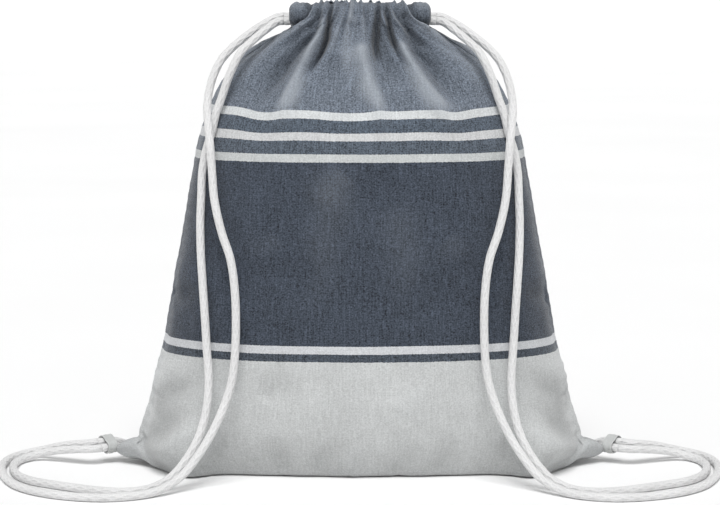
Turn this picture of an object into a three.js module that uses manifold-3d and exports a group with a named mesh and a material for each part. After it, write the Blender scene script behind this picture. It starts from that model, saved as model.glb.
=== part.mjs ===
// Filled cotton drawstring backpack, standing on its base.
// Millimetres, +Z up, front towards -Y. Origin: middle of the base, on the surface it stands on.
import * as THREE from 'three';
import { mergeVertices } from 'three/addons/utils/BufferGeometryUtils.js';
import Module from 'manifold-3d';

const wasm = await Module();
wasm.setup();

// ---- driving dimensions -------------------------------------------------------------------
const CLOTH = 1.2;             // thickness of a panel
const GAP = 0.3;               // clearance between touching pieces
const BASE_ROUND = 4;          // height of the rounded lower edge
const BASE_HALF = 152;         // half length of the base between the corners
const NECK_Z = 330.7;          // top edge of the panels, just under the casings
const SECTION_POWER = 2.2;     // superellipse power of the body's cross-section
const EAR_X = 185;             // how far each bottom corner reaches sideways
const EAR_Z = 10;              // height of the corner's tip
const EAR_TOP_Z = 21;          // where the corner's upper edge meets the side
const EAR_SPREAD = 0.2;        // how far round the body the corner is felt, as a sine
const FULLNESS = 0.42;         // how far the contents push out the lower front beside each corner
const FULL_AT = 0.79;          // where that is, as a share of the half width
const FULL_SPREAD = 0.16;
const FULL_TOP = 55;           // it fades out by this height

const CASING_HALF = 51.5;      // half length of each gathered casing
const CASING_R = 8.5;
const CASING_BORE = 6.8;
const CASING_Y = 11.5;         // centre line of each casing, either side of the mouth
const CASING_Z = 339.5;
const SLIT_START = 36;         // inner casing wall is open from here to its end
const SLIT_HEIGHT = 14.4;
const OVERCUT = 1;             // how far a cutting shape reaches past the piece it cuts

const CORD_D = 6;
const CORD_SIDES = 8;
const PAIR = 3.3;              // offset of each of two cords that share one tunnel
const STITCH_R = 0.4;

const LOOP_AT = new THREE.Vector3(191.5, 4, 14.3);   // middle of the right corner loop
const LOOP_TURN = THREE.MathUtils.degToRad(42);      // its hole, from straight sideways
const LOOP_ROLL = THREE.MathUtils.degToRad(35.4);
const LOOP_HOLE = { long: 13.6, short: 7.4 };
const TAPE = { width: 9, thick: 1.2 };
const KNOT_AT = new THREE.Vector3(160, 31, 9.6);
const KNOT_R = 9.3;

// height, half width and half depth of the body
const BODY = [
  [0, 160, 47], [4, 166, 52], [21, 168.5, 58], [49, 159, 64], [87, 150, 69], [125, 144, 70],
  [175, 134.5, 67], [232, 124.5, 59], [265, 115.5, 52], [280, 109, 47], [294, 102, 40],
  [307, 87, 31], [320, 68, 21], [NECK_Z, 50, 12.5],
];

// right strap: the run that starts at the back of the mouth and crosses over the other one
const BACK_RUN = [
  [56.4, 2.8, 337.9], [61, 2.7, 337.5], [73.5, -3, 331], [85.5, -10, 322.5], [95.5, -16, 314],
  [103, -20, 305], [109, -24, 291], [112, -28, 274], [111, -35, 260], [109.3, -42, 246],
  [108, -44.5, 229], [106, -48.5, 206], [100.5, -55.5, 183], [94, -60.5, 164],
  [90.5, -64.5, 138], [90.5, -66.5, 100], [93, -68, 77], [98, -72, 60], [106, -79, 42],
  [116.5, -87, 25], [129, -98, 11], [144, -111, 4.2], [162, -123, 3.1], [182, -127.5, 3.1],
  [205, -123, 3.1], [228, -110.5, 3.1], [246, -92, 3.1], [258, -68, 3.1], [265.5, -42, 3.1],
  [268.5, -17, 3.1], [265.5, 5, 3.1], [257, 17.5, 3.8], [246, 19, 5.9], [236, 15.5, 8.7],
  [226, 10, 11.7], [217, 4.6, 13.8], [209, 0.8, 15.1], [203.6, -0.3, 15.8], [199.8, 1.3, 16.1],
];
// right strap: the run that starts at the front of the mouth
const FRONT_RUN = [
  [56.5, -2.8, 334.5], [60.5, -3.1, 334.3], [69.5, -10.5, 328.4], [79, -19.5, 320.5], [87.5, -25, 312],
  [95.5, -27.5, 296], [101.5, -28, 279], [105.5, -28.6, 268], [108.6, -30, 255],
  [112.8, -31.5, 241], [115.6, -33.5, 226], [116.5, -37, 205], [117, -40, 190],
  [116.5, -45, 168], [115, -50, 145], [113.5, -53.5, 124], [112, -56.5, 99], [110.5, -60.5, 75],
  [112, -66.5, 54], [117, -74, 36], [126, -83.5, 20.5], [137.5, -93.5, 9], [151, -103, 4],
  [167, -109, 3.1], [184, -106.5, 3.1], [203, -97, 3.1], [222, -86, 3.1], [238, -74.5, 3.1],
  [250.5, -58, 3.1], [257.5, -38, 3.1], [260, -18, 3.1], [257, -1, 3.1], [249, 8, 4.2],
  [240, 8.5, 6.6], [231, 5, 8.6], [222, 0.5, 10.3], [213, -3.8, 11.6], [205.5, -6.2, 12.2],
  [200.5, -5.8, 12.4], [196.6, -3.7, 12.4],
];

// ---- helpers ------------------------------------------------------------------------------
const group = new THREE.Group();
const COLOURS = {
  cloth: { color: 0x4b5260, roughness: 0.95 },
  gathered: { color: 0x6a7280, roughness: 0.95 },
  natural: { color: 0xc9ccca, roughness: 0.95 },
  cord: { color: 0xdedfdc, roughness: 0.9 },
  thread: { color: 0x5a6270, roughness: 0.8 },
};

function addMesh(name, geometry, look) {
  const material = new THREE.MeshStandardMaterial({ metalness: 0, ...COLOURS[look] });
  const mesh = new THREE.Mesh(geometry, material);
  mesh.name = name;
  group.add(mesh);
  return mesh;
}

function toSolid(geometry) {
  const bare = geometry.clone();
  bare.deleteAttribute('normal');
  bare.deleteAttribute('uv');
  const merged = mergeVertices(bare, 1e-4);
  return new wasm.Manifold(new wasm.Mesh({
    numProp: 3,
    vertProperties: new Float32Array(merged.attributes.position.array),
    triVerts: new Uint32Array(merged.index.array),
  }));
}

function fromSolid(solid) {
  const mesh = solid.getMesh();
  const geometry = new THREE.BufferGeometry();
  geometry.setAttribute('position', new THREE.BufferAttribute(mesh.vertProperties, 3));
  geometry.setIndex(new THREE.BufferAttribute(mesh.triVerts, 1));
  geometry.computeVertexNormals();
  return geometry;
}

// Round section of the given radius, swept along a smooth curve through the points.
function tube(points, radius, sides, steps) {
  const path = new THREE.CatmullRomCurve3(points.map((p) => new THREE.Vector3(...p)));
  const section = new THREE.Shape();
  section.absarc(0, 0, radius, 0, 2 * Math.PI);
  return new THREE.ExtrudeGeometry(section, {
    steps, curveSegments: sides / 2, bevelEnabled: false, extrudePath: path,
  });
}

const mirrorX = ([x, y, z]) => [-x, y, z];
const mirrorY = ([x, y, z]) => [x, -y, z];

function bodyAt(z) {
  let i = 0;
  while (i < BODY.length - 2 && z > BODY[i + 1][0]) i += 1;
  const [z0, a0, b0] = BODY[i];
  const [z1, a1, b1] = BODY[i + 1];
  const t = (z - z0) / (z1 - z0);
  return { a: a0 + (a1 - a0) * t, b: b0 + (b1 - b0) * t };
}

function superPower(value) {
  return Math.sign(value) * Math.abs(value) ** (2 / SECTION_POWER);
}

// ---- panels -------------------------------------------------------------------------------
// One panel is half of the body: half of the flat base, the wall up to the neck and half of each
// bottom corner. Columns run round the body from one side seam to the other, and rows run from
// the bottom seam, along the base and up the wall.
const COLUMNS = 28;
const FLAT_SHARE = 0.9;        // the base lies flat this far out, then turns up into the wall
const BASE_ROWS = [0, FLAT_SHARE / 2, FLAT_SHARE, 1];
const WALL_Z = [
  4, 10, 21, 35, 49, 68, 87, 106, 125, 150, 175, 204, 232, 250, 265, 280, 294, 307, 320, NECK_Z,
];

function bell(value) {
  return Math.exp(-(value ** 2));
}

function panelPoint(column, row, side) {
  const angle = Math.PI * column / COLUMNS;
  const around = superPower(-Math.cos(angle));
  const depth = superPower(Math.sin(angle));
  const ear = bell(Math.sin(angle) / EAR_SPREAD);
  const full = side < 0 ? FULLNESS * bell((Math.abs(around) - FULL_AT) / FULL_SPREAD) : 0;
  const foot = BASE_ROUND + (EAR_TOP_Z - BASE_ROUND) * ear;
  const ring = (z) => {
    const { a, b } = bodyAt(z);
    const swell = 1 + full * THREE.MathUtils.smoothstep(FULL_TOP - z, 0, FULL_TOP);
    return new THREE.Vector3(a * around, -b * depth * swell, z);
  };
  if (row < BASE_ROWS.length) {
    const s = BASE_ROWS[row];
    const reach = BASE_HALF + (EAR_X - BASE_HALF) * ear;
    const seam = new THREE.Vector3(reach * around, 0, EAR_Z * ear);
    const edge = ring(foot);
    const point = seam.clone().lerp(edge, s);
    const round = Math.max(0, (s - FLAT_SHARE) / (1 - FLAT_SHARE));
    point.z = seam.z + (edge.z - seam.z) * (ear * s + (1 - ear) * round);
    return point;
  }
  const z = WALL_Z[row - BASE_ROWS.length + 1];
  return ring(foot + (z - BASE_ROUND) * (NECK_Z - foot) / (NECK_Z - BASE_ROUND));
}

function panelGeometry(side) {
  const rows = BASE_ROWS.length + WALL_Z.length - 1;
  const outer = [];
  for (let row = 0; row < rows; row += 1) {
    for (let column = 0; column <= COLUMNS; column += 1) outer.push(panelPoint(column, row, side));
  }
  const at = (column, row) => row * (COLUMNS + 1) + column;
  const inner = outer.map((point, k) => {
    const column = k % (COLUMNS + 1);
    const row = Math.floor(k / (COLUMNS + 1));
    const across = outer[at(Math.min(column + 1, COLUMNS), row)].clone()
      .sub(outer[at(Math.max(column - 1, 0), row)]);
    const up = outer[at(column, Math.min(row + 1, rows - 1))].clone()
      .sub(outer[at(column, Math.max(row - 1, 0))]);
    const normal = across.cross(up).normalize();
    if (column === 0 || column === COLUMNS || row === 0) normal.y = 0;
    if (row === rows - 1) normal.z = 0;
    return point.clone().addScaledVector(normal.normalize(), -CLOTH);
  });
  const positions = [];
  for (const point of [...outer, ...inner]) {
    positions.push(point.x, side * -(point.y - GAP / 2), point.z);
  }
  const triangles = [];
  const quad = (a, b, c, d) => {
    if (side < 0) triangles.push(a, b, c, a, c, d);
    else triangles.push(a, c, b, a, d, c);
  };
  const total = outer.length;
  for (let row = 0; row < rows - 1; row += 1) {
    for (let column = 0; column < COLUMNS; column += 1) {
      const [a, b] = [at(column, row), at(column + 1, row)];
      const [c, d] = [at(column + 1, row + 1), at(column, row + 1)];
      quad(a, b, c, d);
      quad(total + d, total + c, total + b, total + a);
    }
  }
  for (let column = 0; column < COLUMNS; column += 1) {
    const [a, b] = [at(column, 0), at(column + 1, 0)];
    const [c, d] = [at(column, rows - 1), at(column + 1, rows - 1)];
    quad(total + a, total + b, b, a);
    quad(c, d, total + d, total + c);
  }
  for (let row = 0; row < rows - 1; row += 1) {
    const [a, b] = [at(0, row), at(0, row + 1)];
    const [c, d] = [at(COLUMNS, row), at(COLUMNS, row + 1)];
    quad(total + a, a, b, total + b);
    quad(c, total + c, total + d, d);
  }
  const geometry = new THREE.BufferGeometry();
  geometry.setAttribute('position', new THREE.Float32BufferAttribute(positions, 3));
  geometry.setIndex(triangles);
  geometry.computeVertexNormals();
  return geometry;
}

addMesh('front_panel', panelGeometry(-1), 'cloth');
addMesh('back_panel', panelGeometry(1), 'cloth');

// ---- seam allowances inside the bag ---------------------------------------------------------
const SEAM = { width: 6, thick: 1, clear: CLOTH + 1.2, low: 30, high: 305 };

function seamGeometry(outline) {
  const shape = new THREE.Shape(outline.map(([x, z]) => new THREE.Vector2(x, z)));
  const geometry = new THREE.ExtrudeGeometry(shape, { depth: SEAM.thick, bevelEnabled: false });
  geometry.rotateX(Math.PI / 2);
  geometry.translate(0, SEAM.thick / 2, 0);
  return geometry;
}

function sideSeamOutline(side) {
  const edge = [SEAM.low, ...BODY.map(([z]) => z), SEAM.high]
    .filter((z) => z >= SEAM.low && z <= SEAM.high);
  const offset = (z, distance) => {
    const step = 2;
    const slope = (bodyAt(z + step).a - bodyAt(z - step).a) / (2 * step);
    const length = Math.hypot(1, slope);
    return [side * (bodyAt(z).a - distance / length), z + distance * slope / length];
  };
  const outside = edge.map((z) => offset(z, SEAM.clear));
  const inside = edge.map((z) => offset(z, SEAM.clear + SEAM.width)).reverse();
  return [...outside, ...inside];
}

addMesh('left_side_seam', seamGeometry(sideSeamOutline(-1)), 'thread');
addMesh('right_side_seam', seamGeometry(sideSeamOutline(1)), 'thread');
const BOTTOM_SEAM_HALF = 140;
const BOTTOM_SEAM_Z = CLOTH + 0.5;
addMesh('bottom_seam', seamGeometry([
  [-BOTTOM_SEAM_HALF, BOTTOM_SEAM_Z], [BOTTOM_SEAM_HALF, BOTTOM_SEAM_Z],
  [BOTTOM_SEAM_HALF, BOTTOM_SEAM_Z + SEAM.width], [-BOTTOM_SEAM_HALF, BOTTOM_SEAM_Z + SEAM.width],
]), 'natural');

// ---- casings: a tunnel along the top of each panel, its inner wall open at both ends ----------
function casingGeometry(side) {
  const ring = new THREE.Shape();
  ring.absarc(0, 0, CASING_R, 0, 2 * Math.PI);
  const bore = new THREE.Path();
  bore.absarc(0, 0, CASING_BORE, 0, 2 * Math.PI, true);
  ring.holes.push(bore);
  const tunnel = new THREE.ExtrudeGeometry(ring, {
    depth: 2 * CASING_HALF, steps: 1, curveSegments: 12, bevelEnabled: false,
  });
  tunnel.rotateY(Math.PI / 2);
  tunnel.translate(-CASING_HALF, side * CASING_Y, CASING_Z);
  let solid = toSolid(tunnel);
  const slitLength = CASING_HALF - SLIT_START + OVERCUT;
  const slitDepth = CASING_R + OVERCUT;
  for (const end of [-1, 1]) {
    const slit = new THREE.BoxGeometry(slitLength, slitDepth, SLIT_HEIGHT);
    const slitX = end * (SLIT_START + slitLength / 2);
    slit.translate(slitX, side * (CASING_Y - slitDepth / 2), CASING_Z);
    solid = solid.subtract(toSolid(slit));
  }
  return fromSolid(solid);
}

const STITCH_ANGLE = THREE.MathUtils.degToRad(50);
const STITCH_REACH = CASING_R + GAP + STITCH_R;
const STITCH_HALF = CASING_HALF - 2;
for (const [name, side] of [['front', -1], ['back', 1]]) {
  addMesh(`${name}_casing`, casingGeometry(side), 'gathered');
  const y = side * (CASING_Y + STITCH_REACH * Math.cos(STITCH_ANGLE));
  const z = CASING_Z - STITCH_REACH * Math.sin(STITCH_ANGLE);
  const row = [[-STITCH_HALF, y, z], [0, y, z], [STITCH_HALF, y, z]];
  addMesh(`${name}_casing_stitching`, tube(row, STITCH_R, 6, 8), 'thread');
}

// ---- drawcords ----------------------------------------------------------------------------------
// Each cord goes in at its own end of one casing, round the far end at the mouth, and comes back
// through the other casing. Where the two cords share a tunnel they lie half a turn round each other.
// The twist puts one cord outside and the other inside at the middle of each tunnel.
const LOW = CASING_Z - PAIR;
const HIGH = CASING_Z + PAIR;
const MOUTH_X = 56;
const EIGHTH_TURN = Math.SQRT1_2 * PAIR;

function casingRoute(twist) {
  const shift = EIGHTH_TURN * twist;
  const tunnel = (y) => [
    [34, y, LOW], [17, y + shift, CASING_Z - EIGHTH_TURN], [0, y + PAIR * twist, CASING_Z],
    [-17, y + shift, CASING_Z + EIGHTH_TURN], [-33, y, HIGH],
  ];
  const turn = [[-39.5, -9.4, HIGH], [-43.7, -5.3, HIGH], [-45, 0, HIGH]];
  return [
    [MOUTH_X, -2.8, 334.5], [52.5, -2.9, 334.6], [47, -5.4, 335.3], [41.5, -9.5, LOW],
    ...tunnel(-CASING_Y), ...turn,
    ...turn.slice(0, 2).reverse().map(mirrorY), ...tunnel(CASING_Y).reverse(),
    [41.5, 9.5, LOW], [47, 5.4, 337], [52.5, 2.9, 337.8], [MOUTH_X, 2.8, 337.9],
  ];
}

// The end of each run goes through the corner loop, behind the corner, to the knot.
const BACK_END = [
  [199.2, 1.7, 16.1], [196.9, 2.8, 16.1], [193.2, 5.9, 16.1], [189.7, 9.1, 15.9],
  [184.5, 14.6, 13.8], [179, 20.8, 10.8], [172, 27.6, 10], [160, 34, 12],
];
const FRONT_END = [
  [196, -3.3, 12.4], [193.5, -1.2, 12.4], [189.8, 2.1, 12.4], [186.2, 5.4, 12.2],
  [181.5, 9.9, 9.4], [176, 14.8, 5.6], [169.5, 20.8, 4.2], [161, 27, 6.5],
];
const TAILS = [
  [[160, 31, 9.6], [150, 36, 6], [141, 41, 3.4], [133, 47, 3.1]],
  [[160, 31, 9.6], [157, 43, 6], [152, 52, 3.4], [145, 60, 3.1]],
];

function ball(radius, place) {
  const geometry = new THREE.SphereGeometry(radius, 14, 10);
  geometry.translate(...place(KNOT_AT.toArray()));
  return toSolid(geometry);
}

function cordEndGeometry(route, place) {
  const cord = toSolid(tube(route.map(place), CORD_D / 2, CORD_SIDES, 16));
  return fromSolid(cord.subtract(ball(KNOT_R + GAP, place)));
}

function knotGeometry(place) {
  const tails = TAILS.map((tail) => toSolid(tube(tail.map(place), CORD_D / 2, CORD_SIDES, 6)));
  return fromSolid(tails.reduce((solid, tail) => solid.add(tail), ball(KNOT_R, place)));
}

// ---- corner loops: folded tape, sewn to the tip of each bottom corner -----------------------------
function stadium(Outline, long, short) {
  const outline = new Outline();
  const straight = (long - short) / 2;
  outline.absarc(straight, 0, short / 2, -Math.PI / 2, Math.PI / 2);
  outline.absarc(-straight, 0, short / 2, Math.PI / 2, 1.5 * Math.PI);
  return outline;
}

// The loop's own axes: x the long way of its hole, y the short way, z through the hole.
function loopFrame(side) {
  const level = new THREE.Vector3(-side * Math.sin(LOOP_TURN), -Math.cos(LOOP_TURN), 0);
  const up = new THREE.Vector3(0, 0, 1);
  const [cos, sin] = [Math.cos(LOOP_ROLL), Math.sin(LOOP_ROLL)];
  const long = level.clone().multiplyScalar(cos).addScaledVector(up, -sin);
  const short = level.clone().multiplyScalar(sin).addScaledVector(up, cos);
  const through = long.clone().cross(short);
  const frame = new THREE.Matrix4().makeBasis(long, short, through);
  return frame.setPosition(side * LOOP_AT.x, LOOP_AT.y, LOOP_AT.z);
}

function loopGeometry(side) {
  const { long, short } = LOOP_HOLE;
  const ring = stadium(THREE.Shape, long + 2 * TAPE.thick, short + 2 * TAPE.thick);
  ring.holes.push(stadium(THREE.Path, long, short));
  const geometry = new THREE.ExtrudeGeometry(ring, {
    depth: TAPE.width, curveSegments: 6, bevelEnabled: false,
  });
  geometry.translate(0, 0, -TAPE.width / 2);
  return geometry.applyMatrix4(loopFrame(side));
}

// Thread over the root of the loop, on the half of the tape that faces forwards.
const LOOP_TACK = { thick: 0.6, width: 3.2, high: 3.6, forward: 2 };
function loopTackGeometry(side) {
  const geometry = new THREE.BoxGeometry(LOOP_TACK.thick, LOOP_TACK.high, LOOP_TACK.width);
  const reach = LOOP_HOLE.long / 2 + TAPE.thick + GAP + LOOP_TACK.thick / 2;
  geometry.translate(reach, 0, side * -LOOP_TACK.forward);
  return geometry.applyMatrix4(loopFrame(side));
}

// Thread across the side seam just under the casings, where the slit for the cords ends.
const SLIT_TACK = { x: 46.6, z: 329.2, size: [2.4, 4, 2.3] };
function slitTackGeometry(side) {
  const geometry = new THREE.BoxGeometry(...SLIT_TACK.size);
  geometry.translate(side * SLIT_TACK.x, 0, SLIT_TACK.z);
  return geometry;
}

for (const [name, side] of [['left', -1], ['right', 1]]) {
  const place = side > 0 ? (point) => point : mirrorX;
  const cord = (points, steps) => tube(points.map(place), CORD_D / 2, CORD_SIDES, steps);
  addMesh(`${name}_drawcord_in_casing`, cord(casingRoute(side), 44), 'cord');
  addMesh(`${name}_strap_back_run`, cord(BACK_RUN, 54), 'cord');
  addMesh(`${name}_strap_front_run`, cord(FRONT_RUN, 54), 'cord');
  addMesh(`${name}_cord_end_back`, cordEndGeometry(BACK_END, place), 'cord');
  addMesh(`${name}_cord_end_front`, cordEndGeometry(FRONT_END, place), 'cord');
  addMesh(`${name}_cord_knot`, knotGeometry(place), 'cord');
  addMesh(`${name}_corner_loop`, loopGeometry(side), 'natural');
  addMesh(`${name}_loop_bartack`, loopTackGeometry(side), 'natural');
  addMesh(`${name}_slit_bartack`, slitTackGeometry(side), 'thread');
}

export default group;
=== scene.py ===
import math
import random

import bpy
import numpy as np
from mathutils import Matrix, Vector, noise
from mathutils.bvhtree import BVHTree
from mathutils.kdtree import KDTree


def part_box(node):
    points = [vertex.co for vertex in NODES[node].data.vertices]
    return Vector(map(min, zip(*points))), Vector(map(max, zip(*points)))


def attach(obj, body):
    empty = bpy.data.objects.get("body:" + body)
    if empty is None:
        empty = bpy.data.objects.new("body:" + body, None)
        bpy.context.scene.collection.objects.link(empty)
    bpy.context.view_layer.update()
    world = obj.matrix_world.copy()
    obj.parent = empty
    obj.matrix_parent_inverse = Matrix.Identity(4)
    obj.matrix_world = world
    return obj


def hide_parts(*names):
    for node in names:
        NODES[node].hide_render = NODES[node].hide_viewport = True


# Filled cotton drawstring backpack. Lengths are in metres, except where a comment says millimetres.
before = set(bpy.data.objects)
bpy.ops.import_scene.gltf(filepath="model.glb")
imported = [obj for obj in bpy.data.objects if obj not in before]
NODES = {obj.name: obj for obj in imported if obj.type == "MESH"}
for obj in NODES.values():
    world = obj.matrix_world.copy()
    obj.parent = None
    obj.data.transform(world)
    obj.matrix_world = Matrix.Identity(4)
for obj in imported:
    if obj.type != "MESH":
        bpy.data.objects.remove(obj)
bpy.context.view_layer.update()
MM = 0.001
TURN = 2 * math.pi


def add_object(name, data):
    """Puts a mesh, camera or light into the scene."""
    made = bpy.data.objects.new(name, data)
    bpy.context.scene.collection.objects.link(made)
    return made


# ---- camera ----
CAMERA_AT = (0, -1.715, 0.375)
CAMERA_PITCH = 7.1  # degrees below level
LENS, SENSOR = 115, 36  # millimetres
camera = add_object("camera", bpy.data.cameras.new("camera"))
camera.location = CAMERA_AT
camera.rotation_euler = (math.radians(90 - CAMERA_PITCH), 0, 0)
camera.data.lens = LENS
camera.data.sensor_width = SENSOR
camera.data.clip_end = 100
bpy.context.scene.camera = camera


# ---- shader helpers ----
NOISE_RANGE = (0.3, 0.7)  # where nearly all of a noise texture's values lie
COTTON_SPECULAR, SHEEN_ROUGHNESS = 0.2, 0.5


class Shader:
    """A material being built: plug() adds a node, feeding each socket a number or another socket."""

    def __init__(self, name):
        self.material = bpy.data.materials.new(name)
        self.material.use_nodes = True
        self.tree = self.material.node_tree
        self.tree.nodes.clear()

    def plug(self, kind, sockets=(), **settings):
        node = self.tree.nodes.new("ShaderNode" + kind)
        for key, value in settings.items():
            setattr(node, key, value)
        for key, value in dict(sockets).items():
            if isinstance(value, bpy.types.NodeSocket):
                self.tree.links.new(value, node.inputs[key])
            else:
                node.inputs[key].default_value = value
        return node

    def math(self, operation, a, b=0.0, c=0.0):
        return self.plug("Math", {0: a, 1: b, 2: c}, operation=operation).outputs[0]

    def spread(self, vector, scale):
        return self.plug("VectorMath", {0: vector, 1: scale}, operation="MULTIPLY").outputs[0]

    def grain(self, vector, scale=1.0, detail=2.0, roughness=0.5):
        sockets = {"Vector": vector, "Scale": scale, "Detail": detail, "Roughness": roughness}
        return self.plug("TexNoise", sockets).outputs[0]

    def fit(self, value, low, high, to_low, to_high):
        sockets = {0: value, 1: low, 2: high, 3: to_low, 4: to_high}
        return self.plug("MapRange", sockets).outputs[0]

    def vary(self, value, low, high):
        return self.fit(value, *NOISE_RANGE, low, high)

    def cloth_uv(self):
        return self.plug("UVMap", uv_map="cloth_uv").outputs[0]

    def place_mm(self):
        return self.spread(self.plug("TexCoord").outputs["Object"], (1000, 1000, 1000))

    def tint(self, colour, factor):
        return self.plug("VectorMath", {0: colour, "Scale": factor}, operation="SCALE").outputs[0]

    def blend(self, factor, a, b):
        return self.plug("Mix", {0: factor, 6: a, 7: b}, data_type="RGBA").outputs[2]

    def ramp(self, value, stops, interpolation="LINEAR"):
        node = self.plug("ValToRGB", {0: value})
        band = node.color_ramp
        band.interpolation = interpolation
        while len(band.elements) < len(stops):
            band.elements.new(1.0)
        for element, (position, colour) in zip(band.elements, stops):
            element.position = position
            element.color = (*colour, 1)
        return node.outputs[0]

    def bump(self, height, distance, strength=1.0):
        sockets = {"Height": height, "Distance": distance, "Strength": strength}
        return self.plug("Bump", sockets).outputs[0]

    def finish(self, colour, roughness, normal, sheen=0.3):
        surface = self.plug("BsdfPrincipled", {
            "Base Color": colour, "Roughness": roughness, "Normal": normal,
            "Specular IOR Level": COTTON_SPECULAR,
            "Sheen Weight": sheen, "Sheen Roughness": SHEEN_ROUGHNESS,
        })
        output = self.plug("OutputMaterial")
        self.tree.links.new(surface.outputs[0], output.inputs[0])
        return self.material


def srgb(*levels):
    """Linear colour of 0-255 display values."""
    return tuple(((v / 255 + 0.055) / 1.055) ** 2.4 for v in levels)


# ---- tubes and cords ----
def smooth_path(points, step):
    """Centripetal Catmull-Rom curve through the points, the same as the CAD sweep follows."""
    p = np.array(points, dtype=float)
    p = np.vstack([2 * p[0] - p[1], p, 2 * p[-1] - p[-2]])
    found = []
    for i in range(1, len(p) - 2):
        a, b, c, d = p[i - 1:i + 3]
        k0, k1, k2 = (max(np.linalg.norm(q - r) ** 0.5, 1e-6) for q, r in ((b, a), (c, b), (d, c)))
        start = ((b - a) / k0 - (c - a) / (k0 + k1) + (c - b) / k1) * k1
        end = ((c - b) / k1 - (d - b) / (k1 + k2) + (d - c) / k2) * k1
        count = max(2, int(np.linalg.norm(c - b) / (step / 8)))
        t = np.linspace(0, 1, count, endpoint=False)[:, None]
        found.append((2 * t**3 - 3 * t**2 + 1) * b + (t**3 - 2 * t**2 + t) * start
                     + (3 * t**2 - 2 * t**3) * c + (t**3 - t**2) * end)
    line = np.vstack([*found, p[-2][None]])
    along = np.concatenate([[0], np.cumsum(np.linalg.norm(np.diff(line, axis=0), axis=1))])
    even = np.linspace(0, along[-1], max(3, int(round(along[-1] / step)) + 1))
    return np.stack([np.interp(even, along, line[:, k]) for k in range(3)], axis=1), even


FIRST_ACROSS = (0.3, 0.2, 0.93)  # a direction that no path starts along


def path_frames(line):
    """Two unit vectors across the path at each point, turning as little as they can."""
    along = np.gradient(line, axis=0)
    along /= np.linalg.norm(along, axis=1)[:, None]
    side = np.cross(along[0], FIRST_ACROSS)
    sides = []
    for direction in along:
        side = side - direction * side.dot(direction)
        side /= np.linalg.norm(side)
        sides.append(side)
    sides = np.array(sides)
    return sides, np.cross(along, sides)


def new_object(name, vertices, faces, material, uvs=None, smooth=True):
    mesh = bpy.data.meshes.new(name)
    mesh.from_pydata([tuple(v) for v in vertices], [], faces)
    if uvs is not None:
        layer = mesh.uv_layers.new(name="cloth_uv")
        layer.data.foreach_set("uv", np.array(uvs, dtype=float).ravel())
    mesh.polygons.foreach_set("use_smooth", [smooth] * len(mesh.polygons))
    mesh.materials.append(material)
    mesh.update()
    return add_object(name, mesh)


def join_meshes(name, parts, material):
    """One object from (vertices, faces, uvs) parts."""
    vertices, faces, uvs = [], [], []
    for part_vertices, part_faces, part_uvs in parts:
        start = len(vertices)
        vertices += [tuple(v) for v in part_vertices]
        faces += [tuple(start + i for i in face) for face in part_faces]
        uvs += list(part_uvs)
    return new_object(name, vertices, faces, material, uvs)


BRAID_RELIEF = 0.05 * MM
BRAID_PITCH = 10.5 * MM
BRAID_STRANDS = 6
BRAID_MEAN = 0.4
CORD_STEP = 1.3 * MM
BLUNT_END = 0.25  # how far along its round end a tube starts, in radii


def tube_mesh(points, radius, sides=24, step=CORD_STEP, relief=0.0, round_ends=False):
    """Vertices, faces and UVs of a round tube: U is the turn from 0 to 1, V the length along it."""
    line, even = smooth_path(points, step)
    sides_a, sides_b = path_frames(line)
    turn = np.linspace(0, TURN, sides, endpoint=False)
    radii = np.full(len(line), radius)
    if round_ends:
        reach = np.minimum(even, even[-1] - even) / radius
        radii = radius * np.sqrt(np.clip(1 - (1 - np.clip(reach + BLUNT_END, 0, 1)) ** 2, 0, 1))
    phase = TURN * even[:, None] / BRAID_PITCH
    strands = BRAID_STRANDS * turn
    braid = np.maximum(np.cos(strands + phase), np.cos(strands - phase)) - BRAID_MEAN
    grown = radii[:, None] + relief * braid
    rings = (line[:, None] + grown[..., None] * (np.cos(turn)[None, :, None] * sides_a[:, None]
                                                 + np.sin(turn)[None, :, None] * sides_b[:, None]))
    vertices = rings.reshape(-1, 3).tolist()
    faces, uvs = [], []
    for i, j in np.ndindex(len(line) - 1, sides):
        corners = ((i, j), (i, j + 1), (i + 1, j + 1), (i + 1, j))
        faces.append(tuple(row * sides + column % sides for row, column in corners))
        uvs += [(column / sides, even[row]) for row, column in corners]
    for ring, order in ((0, -1), (len(line) - 1, 1)):
        centre = len(vertices)
        vertices.append(line[ring].tolist())
        for j in range(sides):
            edge = (ring * sides + j, ring * sides + (j + 1) % sides)[::order]
            faces.append((*edge, centre))
            uvs += [(j / sides, even[ring]), ((j + 1) / sides, even[ring]), ((j + 0.5) / sides, even[ring])]
    return vertices, faces, uvs


# ---- materials ----
LEVEL_LOW, LEVEL_HIGH = -0.100, 0.400
# The cloth's own stripes. The navy bands above the body and the upper white stripes are painted paler the
# higher they lie: painted light from above.
STRIPES = (  # level of each colour's lower edge, and its colour
    (LEVEL_LOW, srgb(199, 201, 201)),
    (0.0877, srgb(70, 77, 86)),
    (0.0952, srgb(203, 205, 208)),
    (0.1004, srgb(62, 69, 80)),
    (0.2336, srgb(194, 197, 197)),
    (0.2380, srgb(82, 90, 100)),
    (0.2490, srgb(203, 204, 205)),
    (0.2545, srgb(82, 91, 102)),
    (0.2651, srgb(208, 211, 212)),
    (0.2708, srgb(105, 113, 124)),
)
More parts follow.
